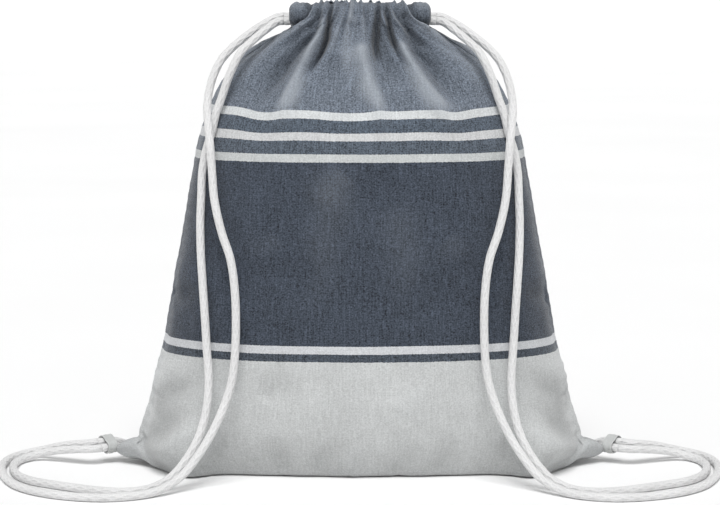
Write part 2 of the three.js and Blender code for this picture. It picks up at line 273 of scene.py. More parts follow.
# How uneven the cloth is: fineness per mm in each direction, detail, and the shade's least and most.
FLECKS = ((0.85, 0.85, 1.0), 2.5, -0.70, 0.80)
WEFT = ((0.09, 1.5, 1), 2.0, -0.18, 0.18)
WARP = ((1.25, 0.05, 1), 2.0, -0.34, 0.34)
PATCHES = ((0.018, 0.018, 0.018), 3.0, -0.07, 0.07)
DARK_CLOTH, PALE_CLOTH, PALE_SHARE = 0.08, 0.5, 0.22  # pale cloth shows this share of it
STRIPE_WANDER = 0.9  # mm, of a stripe's edge
# Painted light on the cloth, from a per-vertex value. Below 0 the colour is darkened as painted shade, at
# most to the first of these. Above 0 it is blended towards the pale colour as painted highlight, which also
# makes seams and ears paler.
PAINTED_SHADE_DARKEST, HIGHLIGHT_AND_WEAR_PALEST, HIGHLIGHT_AND_WEAR_COLOUR = 0.34, 0.46, srgb(190, 196, 203)
FOOT_SHADE, FOOT_TOP = 0.77, 60  # the cloth darkens below this level in mm, to this at the bottom
THREAD_PITCH, THREAD_WOBBLE = 0.75, 7.0  # mm, radians
WEAVE_HIGH, WEFT_HIGH, WARP_HIGH, FLECK_HIGH = 0.30, 1.3, 0.9, 0.8
CLOTH_BUMP = (0.16 * MM, 0.9)


def uneven(shader, place, fineness, detail, least, most):
    """A noise over the cloth, and the shade it makes."""
    found = shader.grain(shader.spread(place, fineness), 1.0, detail, 0.6)
    return found, shader.vary(found, least, most)


def striped_colour(shader, level):
    place = shader.fit(level, LEVEL_LOW / MM, LEVEL_HIGH / MM, 0, 1)
    stops = [((height - LEVEL_LOW) / (LEVEL_HIGH - LEVEL_LOW), colour) for height, colour in STRIPES]
    return shader.ramp(place, stops, "CONSTANT")


def chambray(name, shade_gain=1.0):
    """Plain-weave cotton, white weft flecks over a coloured warp, striped by the level in the UV map."""
    shader = Shader(name)
    flat = shader.spread(shader.cloth_uv(), (1000, 1000, 0))
    solid = shader.place_mm()
    across, level = shader.plug("SeparateXYZ", {0: flat}).outputs[:2]
    level = shader.math("MULTIPLY_ADD", shader.grain(flat, 0.9, 1.0), STRIPE_WANDER,
                        shader.math("SUBTRACT", level, STRIPE_WANDER / 2))
    base = striped_colour(shader, level)

    fleck, fleck_shade = uneven(shader, solid, *FLECKS)
    weft, weft_shade = uneven(shader, flat, *WEFT)
    warp, warp_shade = uneven(shader, flat, *WARP)
    shade = shader.math("ADD", shader.math("ADD", fleck_shade, weft_shade), warp_shade)
    bright = shader.plug("RGBToBW", {0: base}).outputs[0]
    share = shader.fit(bright, DARK_CLOTH, PALE_CLOTH, 1.0, PALE_SHARE)
    shade = shader.math("MULTIPLY_ADD", shade, share, uneven(shader, solid, *PATCHES)[1])
    # A gain below 1 darkens the whole cloth, as painted shade.
    colour = shader.tint(base, shader.math("MULTIPLY", shader.math("ADD", shade, 1.0), shade_gain))
    # Painted shade where the per-vertex value is below 0. Painted highlight, and paler seams and ears,
    # where it is above 0.
    light_and_wear = shader.plug("Attribute", attribute_name="painted_light_and_wear").outputs["Fac"]
    colour = shader.tint(colour, shader.fit(light_and_wear, -1, 0, PAINTED_SHADE_DARKEST, 1.0))
    colour = shader.blend(shader.fit(light_and_wear, 0, 1, 0.0, HIGHLIGHT_AND_WEAR_PALEST), colour, (*HIGHLIGHT_AND_WEAR_COLOUR, 1))
    colour = shader.tint(colour, shader.fit(level, 0, FOOT_TOP, FOOT_SHADE, 1.0))

    wobble = shader.grain(shader.spread(flat, (0.25, 0.25, 1)), 1.0, 1.0)
    wobble = shader.math("MULTIPLY", wobble, THREAD_WOBBLE)
    threads = [shader.math("SINE", shader.math("MULTIPLY_ADD", place, TURN / THREAD_PITCH, wobble))
               for place in (across, level)]
    height = shader.math("MULTIPLY", shader.math("MULTIPLY", *threads), WEAVE_HIGH)
    for thread, high in ((weft, WEFT_HIGH), (warp, WARP_HIGH), (fleck, FLECK_HIGH)):
        height = shader.math("MULTIPLY_ADD", thread, high, height)
    normal = shader.bump(height, *CLOTH_BUMP)
    return shader.finish(colour, shader.vary(fleck, 0.95, 0.82), normal, sheen=0.25)


def plain_cotton(name, colour, thread, bump):
    """Ribbed or spun cotton, its threads along the V of the piece's UV map."""
    shader = Shader(name)
    solid = shader.place_mm()
    fibre = shader.grain(shader.spread(solid, (1.2, 1.2, 1.2)), 1.0, 3.0, 0.6)
    soil = shader.grain(shader.spread(solid, (0.03, 0.03, 0.03)), 1.0, 2.0)
    along = shader.plug("SeparateXYZ", {0: shader.cloth_uv()}).outputs[1]
    rib = shader.math("SINE", shader.math("MULTIPLY", along, TURN / thread))
    shade = shader.math("ADD", shader.vary(fibre, 0.91, 1.05), shader.vary(soil, -0.03, 0.03))
    # The colour is painted paler on each rib and darker between them: painted shade.
    shade = shader.math("MULTIPLY_ADD", rib, 0.035, shade)
    height = shader.math("MULTIPLY_ADD", fibre, 0.8, shader.math("MULTIPLY", rib, 0.5))
    roughness = shader.vary(fibre, 0.94, 0.8)
    return shader.finish(shader.tint(colour, shade), roughness, shader.bump(height, bump))


def braided_cotton(name, colour):
    """Soft round braid: two sets of strands that cross over each other, with loose fibres."""
    shader = Shader(name)
    parts = shader.plug("SeparateXYZ", {0: shader.cloth_uv()})
    turn = shader.math("MULTIPLY", parts.outputs[0], TURN * BRAID_STRANDS)
    along = shader.math("MULTIPLY", parts.outputs[1], TURN / BRAID_PITCH)
    strands = [shader.math("SINE", shader.math(way, turn, along)) for way in ("ADD", "SUBTRACT")]
    braid = shader.math("MAXIMUM", *strands)
    solid = shader.place_mm()
    fibre = shader.grain(solid, 1.3, 3.0, 0.65)
    # The colour is painted a little paler on the strands' crowns and darker between them: painted shade.
    shade = shader.math("MULTIPLY_ADD", braid, 0.03, shader.vary(fibre, 0.88, 1.06))
    shade = shader.math("ADD", shade, shader.vary(shader.grain(solid, 0.05, 2.0), -0.03, 0.03))
    height = shader.math("MULTIPLY_ADD", fibre, 0.7, braid)
    roughness, normal = shader.vary(fibre, 0.92, 0.78), shader.bump(height, 0.22 * MM)
    return shader.finish(shader.tint(colour, shade), roughness, normal, sheen=0.35)


CLOTH = chambray("striped_chambray")
# The casings take a copy of the striped cloth painted 20% darker: painted shade.
CASING_CLOTH = chambray("gathered_chambray_shaded", shade_gain=0.80)
CORD = braided_cotton("cord_cotton", srgb(227, 227, 227))
TAPE = plain_cotton("tape_cotton", srgb(205, 207, 206), 0.8 * MM, 0.18 * MM)
BLUE_THREAD = plain_cotton("blue_thread", srgb(96, 104, 116), 0.5 * MM, 0.1 * MM)
PALE_THREAD = plain_cotton("pale_thread", srgb(200, 201, 199), 0.5 * MM, 0.1 * MM)

# ---- the straps, which come first: points repeated from the CAD model, in mm, for the right side ----
CORD_RADIUS = 3 * MM
BACK_RUN = [
    [56.4, 2.8, 337.9], [61, 2.7, 337.5], [73.5, -3, 331], [85.5, -10, 322.5], [95.5, -16, 314],
    [103, -20, 305], [109, -24, 291], [112, -28, 274], [111, -35, 260], [109.3, -42, 246],
    [108, -44.5, 229], [106, -48.5, 206], [100.5, -55.5, 183], [94, -60.5, 164],
    [90.5, -64.5, 138], [90.5, -66.5, 100], [93, -68, 77], [98, -72, 60], [106, -79, 42],
    [116.5, -87, 25], [129, -98, 11], [144, -111, 4.2], [162, -123, 3.1], [182, -127.5, 3.1],
    [205, -123, 3.1], [228, -110.5, 3.1], [246, -92, 3.1], [258, -68, 3.1], [265.5, -42, 3.1],
    [268.5, -17, 3.1], [265.5, 5, 3.1], [257, 17.5, 3.8], [246, 19, 5.9], [236, 15.5, 8.7],
    [226, 10, 11.7], [217, 4.6, 13.8], [209, 0.8, 15.1], [203.6, -0.3, 15.8], [199.8, 1.3, 16.1],
]
FRONT_RUN = [
    [56.5, -2.8, 334.5], [60.5, -3.1, 334.3], [69.5, -10.5, 328.4], [79, -19.5, 320.5],
    [87.5, -25, 312], [95.5, -27.5, 296], [101.5, -28, 279], [105.5, -28.6, 268],
    [108.6, -30, 255], [112.8, -31.5, 241], [115.6, -33.5, 226], [116.5, -37, 205],
    [117, -40, 190], [116.5, -45, 168], [115, -50, 145], [113.5, -53.5, 124], [112, -56.5, 99],
    [110.5, -60.5, 75], [112, -66.5, 54], [117, -74, 36], [126, -83.5, 20.5], [137.5, -93.5, 9],
    [151, -103, 4], [167, -109, 3.1], [184, -106.5, 3.1], [203, -97, 3.1], [222, -86, 3.1],
    [238, -74.5, 3.1], [250.5, -58, 3.1], [257.5, -38, 3.1], [260, -18, 3.1], [257, -1, 3.1],
    [249, 8, 4.2], [240, 8.5, 6.6], [231, 5, 8.6], [222, 0.5, 10.3], [213, -3.8, 11.6],
    [205.5, -6.2, 12.2], [200.5, -5.8, 12.4], [196.6, -3.7, 12.4],
]
BACK_END = [
    BACK_RUN[-1], [196.9, 2.8, 16.1], [193.2, 5.9, 16.1], [189.7, 9.1, 15.9],
    [184.5, 14.6, 13.8], [179, 20.8, 10.8], [172, 27.6, 10], [160, 34, 12],
]
FRONT_END = [
    FRONT_RUN[-1], [193.5, -1.2, 12.4], [189.8, 2.1, 12.4], [186.2, 5.4, 12.2],
    [181.5, 9.9, 9.4], [176, 14.8, 5.6], [169.5, 20.8, 4.2], [161, 27, 6.5],
]
TAILS = (
    [[160, 31, 9.6], [150, 36, 6], [141, 41, 3.4], [133, 47, 3.1]],
    [[160, 31, 9.6], [157, 43, 6], [152, 52, 3.4], [145, 60, 3.1]],
)
TUNNEL_Y, TUNNEL_Z, PAIR = 11.5, 339.5, 3.3
SIDES = (("left", -1), ("right", 1))


def placed(points, side):
    return [(side * x * MM, y * MM, z * MM) for x, y, z in points]


def casing_route(twist):
    """A drawcord's way in at its own end, round the far end of the mouth and back."""
    shift = 0.7 * PAIR
    low, high = TUNNEL_Z - PAIR, TUNNEL_Z + PAIR

    def tunnel(y):
        return [[34, y, low], [17, y + shift * twist, TUNNEL_Z - shift], [0, y + PAIR * twist, TUNNEL_Z],
                [-17, y + shift * twist, TUNNEL_Z + shift], [-33, y, high]]

    turn = [[-39.5, -9.4, high], [-43.7, -5.3, high], [-45, 0, high]]
    return [FRONT_RUN[0], [52.5, -2.9, 334.6], [47, -5.4, 335.3], [41.5, -9.5, low],
            *tunnel(-TUNNEL_Y), *turn, *[[x, -y, z] for x, y, z in turn[1::-1]],
            *tunnel(TUNNEL_Y)[::-1],
            [41.5, 9.5, low], [47, 5.4, 337], [52.5, 2.9, 337.8], BACK_RUN[0]]


def add_piece(piece, slot, *nodes):
    """Hangs a piece on the root body and hides the CAD nodes it stands for. The slot is not used."""
    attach(piece, "root")
    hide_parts(*nodes)


def add_cord(name, meshes, node):
    piece = join_meshes(name, meshes, CORD)
    add_piece(piece, "cord", node)
    return piece


def cord_mesh(points, round_ends=False):
    return tube_mesh(points, CORD_RADIUS, relief=BRAID_RELIEF, round_ends=round_ends)


cord_lines = []
for hand, side in SIDES:
    for run, points in (("back", BACK_RUN), ("front", FRONT_RUN)):
        route = placed(points, side)
        path, even = smooth_path(route, CORD_STEP)
        strap = add_cord(f"{hand}_strap_cord_{run}", [cord_mesh(route)], f"{hand}_strap_{run}_run")
        cord_lines.append(path)
    for run, points in (("back", BACK_END), ("front", FRONT_END)):
        end = placed(points, side)
        add_cord(f"{hand}_cord_behind_corner_{run}", [cord_mesh(end)], f"{hand}_cord_end_{run}")
        cord_lines.append(smooth_path(end, CORD_STEP)[0])
    route = placed(casing_route(side), side)
    add_cord(f"{hand}_drawcord", [cord_mesh(route)], f"{hand}_drawcord_in_casing")

# ---- knots ----
KNOT_AT = (160, 31, 9.6)  # millimetres, like the knot's width and thickness
KNOT_WIDE, KNOT_THICK = 2.05, 3.1
KNOT_TILT = (52, 20)  # degrees about y and x
KNOT_TURNS = 60


def knot_line(side):
    """A closed trefoil, which looks like an overhand knot pulled small."""
    tilt = (Matrix.Rotation(math.radians(KNOT_TILT[0]), 3, "Y")
            @ Matrix.Rotation(math.radians(KNOT_TILT[1]), 3, "X"))
    points = []
    for k in range(KNOT_TURNS + 1):
        t = TURN * k / KNOT_TURNS
        points.append(Vector(KNOT_AT) + tilt @ Vector((
            KNOT_WIDE * (math.sin(t) + 2 * math.sin(2 * t)),
            KNOT_WIDE * (math.cos(t) - 2 * math.cos(2 * t)), -KNOT_THICK * math.sin(3 * t))))
    return placed(points, side)


for hand, side in SIDES:
    tails = [cord_mesh(placed(tail, side), round_ends=True) for tail in TAILS]
    add_cord(f"{hand}_overhand_knot", [cord_mesh(knot_line(side)), *tails], f"{hand}_cord_knot")

# ---- body profile, measured on the CAD panel ----
panel_mesh = NODES["front_panel"].data
panel_tree = BVHTree.FromPolygons([v.co for v in panel_mesh.vertices],
                                  [tuple(p.vertices) for p in panel_mesh.polygons])
EAR_X, _, NECK_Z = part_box("front_panel")[1]
EAR_HANG, EAR_RISE, EAR_BLUNT = 0.0035, 0.0060, 1.7
EAR_TOP_Z, EAR_SPREAD, BASE_ROUND = 0.021, 0.20, 0.007
BASE_HALF = 0.152
SECTION_POWER = 2.2
CASING_R = 8.5 * MM
CASING_CENTRE = (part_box("front_casing")[0][1] + CASING_R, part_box("front_casing")[0][2] + CASING_R)
CASING_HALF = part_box("front_casing")[1][0]
WRAP_Y, WRAP_Z = 11.4 * MM, 9.9 * MM  # the panel's cloth goes over the casing on this ellipse
FRONT_Y = -CASING_CENTRE[0] + WRAP_Y
DEPTH_GAIN, BASE_SLOPE = 1.2 * MM, 0.6
# Tables of levels, and of what is there: half widths at the top, room beside the side seams, and
# half depths at the neck, where the cloth keeps its fullness instead of pulling in under the casing.
TOP_WIDTHS = ((0.331, 0.334, 0.3365, 0.3395), (0.0495, 0.0455, 0.0418, 0.0388))
SEAM_ROOM = ((0.0, 0.06, 0.10, 0.20, 0.24), (0.0022, 0.0012, -0.0004, -0.0004, 0.0008))
NECK_DEPTHS = ((0.280, 0.300, 0.310, 0.320, 0.330, 0.340),
               (0.0400, 0.0350, 0.0318, 0.0282, 0.0252, 0.0229))
TUCK = 0.022  # how much narrower the bag gets below the lowest measured width


def measured(levels, start, direction):
    """The panel's half width or half depth at each level, where a ray in from the start hits it."""
    found = []
    for z in levels:
        hit = panel_tree.ray_cast(Vector((*start, z)), Vector(direction))[0]
        found.append(max(abs(hit.x), abs(hit.y)) if hit else found[-1])
    found = np.array(found)
    smoothed = np.convolve(np.pad(found, 2, mode="edge"), np.ones(5) / 5, mode="valid")
    smoothed[:2], smoothed[-2:] = found[:2], found[-2:]
    return smoothed


width_levels = np.linspace(0.024, NECK_Z - 0.001, 70)
depth_levels = np.linspace(0.006, NECK_Z - 0.001, 74)
widths = measured(width_levels, (0.4, -0.001), (-1, 0, 0))
depths = measured(depth_levels, (0.0, 0.0), (0, -1, 0)) + DEPTH_GAIN


def half_width(z):
    body = np.interp(z, width_levels, widths) - TUCK * np.maximum(1 - z / width_levels[0], 0) ** 2
    return np.where(z > TOP_WIDTHS[0][0], np.interp(z, *TOP_WIDTHS), body + np.interp(z, *SEAM_ROOM))


def half_depth(z):
    body = np.interp(z, depth_levels, depths) + np.minimum(z - depth_levels[0], 0) * BASE_SLOPE
    return np.maximum(body, np.interp(z, *NECK_DEPTHS))


def ease(t):
    t = np.clip(t, 0, 1)
    return t * t * (3 - 2 * t)


def bell(distance, spread, power=2):
    """1 in the middle, fading to nothing a little past the spread."""
    return np.exp(-(distance / spread) ** power)


def super_power(value):
    return np.sign(value) * np.abs(value) ** (2 / SECTION_POWER)


# ---- panels: one sheet each, from the bottom seam up, over the casing and into the mouth ----
FACES = (("front", -1), ("back", 1))
COLUMNS = 224
BASE_FLAT = 0.84  # share of the base that lies flat, before its rounded edge
BASE_STEPS = np.concatenate([np.linspace(0, 0.8, 9), np.linspace(BASE_FLAT, 1, 7)])
BASE_LEVEL, BASE_LONGEST = 0.004, 0.055
WALL_LEVELS = np.concatenate([np.arange(0.009, 0.300, 0.0021), np.arange(0.300, 0.3395, 0.0011)])
WRAP_ANGLES = np.radians(np.arange(0, 118, 9))
WRAP_WIDTHS = ((0, 40, 90, 117), (0.0388, 0.0355, 0.0335, 0.0330))  # by angle in degrees
CORNER_FULLNESS, CORNER_TOP, EAR_PUFF = 0.72, 0.060, 0.008
CORNER_PLACE, CORNER_SPREAD = 0.83, 0.13
OPEN_Z, OPEN_EARLIER = 0.3265, 0.030  # where the wall meets the casing's ellipse, sooner in the middle
OPEN_OVER, OPEN_OVER_MORE = 0.007, 0.026
u = np.linspace(0, 1, COLUMNS + 1)
AROUND = super_power(-np.cos(math.pi * u))
ROUND_DEPTH = super_power(np.sin(math.pi * u))
HUG = 1 - 0.09 * np.abs(AROUND) ** 6  # the mouth pinches in a little at its two ends
EAR = bell(np.sin(math.pi * u), EAR_SPREAD)
EAR_TIP = bell(np.sin(math.pi * u), 0.08)
EAR_LONG = bell(np.sin(math.pi * u), 0.28, 4)


def wall_ring(z, fullness):
    """One row of the front wall, its levels an array as long as the row."""
    corner = bell(np.abs(AROUND) - CORNER_PLACE, CORNER_SPREAD) * ease((CORNER_TOP - z) / CORNER_TOP)
    closed = -half_depth(z) * ROUND_DEPTH * (1 + fullness * corner)
    open_front = -np.maximum(half_depth(z), FRONT_Y) * HUG
    early = 1 - np.abs(AROUND) ** 4
    loose = ease((z - OPEN_Z + OPEN_EARLIER * early) / (OPEN_OVER + OPEN_OVER_MORE * early))
    return np.stack([half_width(z) * AROUND, closed * (1 - loose) + open_front * loose, z], axis=1)


def base_rows(fullness):
    """Rows from the bottom seam out to the wall, and the level at which the wall starts."""
    foot = BASE_ROUND + (EAR_TOP_Z - BASE_ROUND) * EAR
    edge = wall_ring(foot, fullness)
    reach = (BASE_HALF + (EAR_X - BASE_HALF) * EAR) * AROUND
    rows = []
    for s in BASE_STEPS:
        # an ear keeps its width and height almost to its end, and hangs a little above the floor
        outward = s * (1 - EAR) + s ** EAR_BLUNT * EAR
        row = np.stack([reach + (edge[:, 0] - reach) * outward, edge[:, 1] * s, edge[:, 2]], axis=1)
        lift = 1 - np.sqrt(np.clip(1 - np.clip((s - BASE_FLAT) / (1 - BASE_FLAT), 0, 1) ** 2, 0, 1))
        under = EAR_HANG * EAR_LONG * (1 - (1 - EAR) * ease(s / 0.35)) + EAR_RISE * EAR_TIP
        row[:, 2] = under + (edge[:, 2] - under) * (EAR * s ** 0.6 + (1 - EAR) * lift)
        row[:, 1] -= EAR_PUFF * EAR * np.sin(math.pi * min(1, s * 0.62 + 0.02)) * (1 - EAR_TIP ** 6)
        rows.append(row)
    return rows, foot


def panel_rows(fullness):
    """All rows of a panel, and the level of the weave at each point, in metres."""
    rows, foot = base_rows(fullness)
    base_length = np.linalg.norm(rows[-1] - rows[0], axis=1)
    levels = [(s - 1) * np.minimum(base_length, BASE_LONGEST) + BASE_LEVEL for s in BASE_STEPS]
    for z in WALL_LEVELS:
        height = foot + (z - BASE_ROUND) * (WALL_LEVELS[-1] - foot) / (WALL_LEVELS[-1] - BASE_ROUND)
        rows.append(wall_ring(height, fullness))
        levels.append(height)
    for angle in WRAP_ANGLES[1:]:
        width = np.interp(math.degrees(angle), *WRAP_WIDTHS)
        y = CASING_CENTRE[0] - (FRONT_Y * HUG + CASING_CENTRE[0]) * math.cos(angle)
        z = CASING_CENTRE[1] + WRAP_Z * (0.5 + 0.5 * HUG) * math.sin(angle)
        rows.append(np.stack([width * AROUND, y, z], axis=1))
        levels.append(np.full_like(u, WALL_LEVELS[-1] + WRAP_Z * angle))
    return np.array(rows), np.array(levels)


def grid_normals(grid):
    normals = np.cross(np.gradient(grid, axis=1), np.gradient(grid, axis=0))
    return normals / np.maximum(np.linalg.norm(normals, axis=2, keepdims=True), 1e-9)


def soften(grid, rounds, rows):
    """Evens out the given rows, apart from the panel's outer edges."""
    low, high = rows.start, rows.stop
    for _ in range(rounds):
        near = (grid[low - 1:high - 1, 1:-1] + grid[low + 1:high + 1, 1:-1]
                + grid[rows, :-2] + grid[rows, 2:]) / 4
        grid[rows, 1:-1] = grid[rows, 1:-1] * 0.4 + near * 0.6
    return grid


# Folds, in millimetres: depth (positive outwards), half width at the upper and the lower end, and
# the line as (height, place across). They run down from the casing and fade out at their last point.
FRONT_FOLDS = (
    (-9.5, 1, 2.6, ((345, -21), (331, -23.3), (322, -24.2), (314, -27.6), (302, -35), (290, -42))),
    (-10, 1.2, 2.6, ((344, 13.5), (331, 12.2), (318, 11.3), (308, 12.5), (298, 14.5))),
    (-8.5, 1, 2.6, ((343, 19.5), (330, 21.8), (322, 24), (310, 29), (298, 35))),
    (-5.5, 3, 12, ((336, -30), (325, -34), (315, -44), (297, -61), (283, -71), (270, -78))),
    (-6, 3, 13, ((335, 33), (324, 37), (313, 43), (290, 63.5), (270, 74))),
    (-3.8, 4, 9, ((325, 16), (314, 18), (300, 23), (284, 27))),
    (-2, 4, 8, ((330, -7), (318, -7.5), (306, -9))),
    (-2.8, 2, 6, ((337, 31), (330, 36), (322, 44), (310, 56))),
    (-2.6, 2, 6, ((337, -31), (330, -38), (322, -47), (308, -62))),
    (-2.2, 6, 12, ((306, -18), (288, -23), (268, -27))),
    (5, 3, 8, ((334, -27), (312, -37), (290, -47), (274, -54), (246, -60))),
    (4.6, 5, 7, ((312, 1), (288, 7), (272, 14), (246, 19))),
    (4.8, 5, 8, ((314, 30), (292, 44), (276, 55), (246, 68))),
    (2.6, 5, 9, ((342, -6), (326, -6), (306, -8), (290, -10))),
    (1.6, 4, 9, ((330, -44), (318, -60), (300, -80), (280, -92))),
    (1.6, 4, 9, ((330, 46), (318, 62), (300, 81), (280, 94))),
    (-1.5, 1.2, 3, ((347, -12), (341, -5), (336, -5))),
    (-1.8, 1.2, 2.5, ((348, -31), (339, -28), (334, -27))),
    (-1.8, 1.2, 2.5, ((348, 5), (341, 3), (335, 4))),
    (-1.8, 1.2, 2.5, ((348, 27), (340, 27), (334, 28))),
)
BACK_FOLDS = (
    (-7, 1.4, 6, ((344, 18), (330, 20), (318, 25), (302, 34), (282, 43))),
    (-6.5, 1.4, 5.5, ((343, -10), (330, -10), (316, -12), (300, -17), (284, -21))),
    (-6, 2.4, 7, ((343, 4), (330, 5), (316, 7), (298, 8), (280, 10))),
    (-6.5, 2.4, 9, ((341, -24), (329, -27), (318, -36), (300, -48), (276, -60))),
    (-5.5, 3, 12, ((336, 33), (324, 40), (312, 53), (294, 68), (270, 80))),
    (-5, 3, 12, ((336, -35), (324, -44), (311, -58), (292, -74), (268, -86))),
    (3, 3, 10, ((334, 26), (314, 32), (292, 46), (266, 56))),
    (3, 4, 10, ((334, -16), (312, -24), (290, -33), (262, -40))),
    (2.6, 4, 9, ((326, -2), (304, -3), (282, -4))),
    (2.4, 4, 9, ((326, 14), (306, 21), (280, 26))),
    (-1.8, 1.2, 2.5, ((348, -31), (339, -30), (334, -30))),
    (-1.8, 1.2, 2.5, ((348, 11), (340, 12), (334, 12))),
    (-1.8, 1.2, 2.5, ((348, -17), (340, -17), (334, -18))),
)
# Softer creases lower down: depth, half width, and the line as (height, place across).
LOW_CREASES = (
    (-3.2, 9, ((16, 172), (30, 158), (44, 140), (52, 118))),
    (2.4, 9, ((14, 168), (22, 150), (34, 128), (42, 104))),
    (-2.4, 8, ((40, 163), (58, 150), (66, 132), (68, 112))),
    (1.8, 9, ((60, 160), (78, 146), (84, 126))),
    (-2, 7, ((4, 120), (14, 112), (30, 108), (44, 110))),
    (-1.6, 8, ((4, 60), (16, 64), (34, 74))),
    (-1.6, 7, ((128, 146), (134, 132), (136, 112))),
    (1.4, 8, ((150, 140), (146, 118), (140, 98))),
    (-1.2, 12, ((200, 60), (176, 74), (150, 84), (120, 88))),
    (1, 14, ((215, 20), (180, 30), (140, 36), (110, 38))),
)
# Shallow swells and hollows in the middle of the front, written the same way.
FRONT_SWELLS = (
    (1.9, 12, ((226, -10), (213, -24), (200, -38))),
    (1.7, 13, ((182, -60), (168, -75), (158, -90))),
    (1.7, 13, ((182, 64), (168, 78), (158, 92))),
    (-1.2, 15, ((228, 12), (208, 22), (188, 28))),
    (-1.1, 14, ((168, -42), (150, -55), (136, -60))),
    (-1.1, 14, ((152, 48), (134, 60), (122, 62))),
    (-1.3, 7, ((3, -34), (14, -30), (30, -18))),
    (1.1, 8, ((3, -10), (16, -2), (34, 6))),
    (-1.2, 8, ((3, 22), (12, 30), (26, 46))),
    (-1, 9, ((60, -70), (72, -58), (80, -40))),
    (0.9, 10, ((50, 30), (66, 42), (80, 50))),
)
FOLD_GAIN, CREASE_GAIN = 1.5, 1.5
SHARP_WIDTH, SHARP_DEPTH = 1.5, -5  # a fold narrower and deeper than this is a sharp one
FOLD_FADE, FOLD_START = 0.42, 9  # share of its length that a fold fades over, and mm at its top
STRIPE_SWAY = (  # places across, and how far the top stripe rises there in mm
    (-1.0, -0.78, -0.69, -0.62, -0.50, -0.38, -0.22, -0.10, 0.0, 0.12, 0.25, 0.36, 0.46, 0.58,
     0.64, 0.72, 1.0),
    (2.8, 1.9, -0.4, -2.2, -1.2, 0.5, -0.9, -2.4, -1.5, -1.1, -0.5, 0.4, -0.5, -2.5, -1.9, 0.3,
     2.6),
)


def fold_displacement(x, z, folds):
    """Depth at places x, heights z, all in millimetres, and the part of it that is narrow creases."""
    total, narrow = np.zeros_like(x), np.zeros_like(x)
    for depth, top, bottom, line in folds:
        heights, places = np.array(line, dtype=float)[::-1].T
        share = np.clip((z - heights[0]) / (heights[-1] - heights[0]), 0, 1)
        centre = np.interp(z, heights, places)
        fade = ease(share / FOLD_FADE) * ease((heights[-1] + FOLD_START - z) / FOLD_START)
        sharp = top < SHARP_WIDTH and depth < SHARP_DEPTH
        shape = bell(np.abs(x - centre), bottom + (top - bottom) * share, 1.25 if sharp else 1.6)
        part = FOLD_GAIN * depth * fade * shape * (0.75 + 0.25 * share)
        total += part
        if sharp:
            narrow += part * ease((share - 0.3) / 0.4) * (1 - 0.5 * ease((z - 335) / 8))
    return total, narrow


def crease_displacement(x, z, creases, side):
    """Depth at places x, heights z, all in millimetres, of creases on this side of the bag."""
    total = np.zeros_like(x)
    for depth, width, line in creases:
        points = np.array(line, dtype=float)[:, ::-1] * (side, 1)
        best, part = np.full(x.shape, 1e9), np.zeros_like(x)
        lengths = np.linalg.norm(np.diff(points, axis=0), axis=1)
        start = 0.0
        for (a, b), length in zip(zip(points[:-1], points[1:]), lengths):
            t = np.clip(((x - a[0]) * (b[0] - a[0]) + (z - a[1]) * (b[1] - a[1])) / length ** 2, 0, 1)
            away = np.hypot(x - a[0] - t * (b[0] - a[0]), z - a[1] - t * (b[1] - a[1]))
            nearer = away < best
            best = np.where(nearer, away, best)
            part = np.where(nearer, (start + t * length) / lengths.sum(), part)
            start += length
        ends = ease((1 - part) / 0.6) * ease(part / 0.12 + 0.3)
        total += CREASE_GAIN * depth * bell(best, width, 1.8) * ends
    return total


def perlin(points, scale, offset):
    shift = Vector(offset)
    values = [noise.noise(Vector(p) * scale + shift) for p in points.reshape(-1, 3)]
    return np.array(values).reshape(points.shape[:-1])


# Small unevenness of the cloth: its depth in mm, and how fine it is.
CRINKLE, FINE_CRINKLE = (1.5, 22), (0.55, 75)
GATHER, RUFFLE = (1.1, 34), (0.8, 57)
STITCH_DENT, STITCH_AT = 0.3, 333.0  # the casing's stitches pull the cloth in, at this level in mm
SEAM_PULL, PUCKER, PUCKER_PITCH, SEAM_SPREAD = 1.6, 0.5, 8.5, 5.0
SHOULDER, SHOULDER_AT = 4.5, (311, 0.955)  # the back's, its level in mm and place across
DEEPEST = ((318, 331, 341, 346), (12.0, 7.2, 4.0, 1.7))  # how far in the cloth may go, by level, in mm
TOP_LEVEL = 348.0
TOP_WAVE = 0.9 * MM
FLOOR_GAP = 0.4 * MM
HALF_ROUND = 160  # mm round a panel from its middle to its seam, roughly
SEAT = {-1: (0.0, 0.0, 3.0), 1: (40.0, 7.0, 9.0)}  # where in the noise each panel is taken from


def near_top(heights):
    return ease((heights - 250) / 80)


def unevenness(grid, heights, fraction, seam, facing):
    """Crinkle, gathers under the casing and puckers along the seams, in millimetres."""
    seat = SEAT[facing]
    wall = ease((heights - 8) / 14)
    push = CRINKLE[0] * wall * perlin(grid, CRINKLE[1], seat) * (1 + 0.8 * near_top(heights))
    push += FINE_CRINKLE[0] * wall * perlin(grid, FINE_CRINKLE[1], (seat[2], 5.0, seat[0]))
    gather = np.sin(fraction * GATHER[1] + 3 * perlin(grid, 30, (9.0, seat[2], 1.0)))
    push += GATHER[0] * gather * ease((heights - 290) / 40)
    ruffle = np.sin(fraction * RUFFLE[1] + 2.5 * perlin(grid, 60, (2.0, seat[2], 6.0)) + facing)
    push += RUFFLE[0] * ruffle * ease((heights - 318) / 16)
    from_stitches = heights - STITCH_AT - 0.9 * np.sin(fraction * 21)
    push -= STITCH_DENT * bell(from_stitches, 1.8) * (1 - np.abs(fraction) ** 4)
    wander = 2 * perlin(grid, 40, (1.0, 1.0, seat[2]))
    pucker = PUCKER * np.sin(heights / PUCKER_PITCH * TURN + wander) - SEAM_PULL
    return push + seam * pucker * ease((325 - heights) / 10) * wall


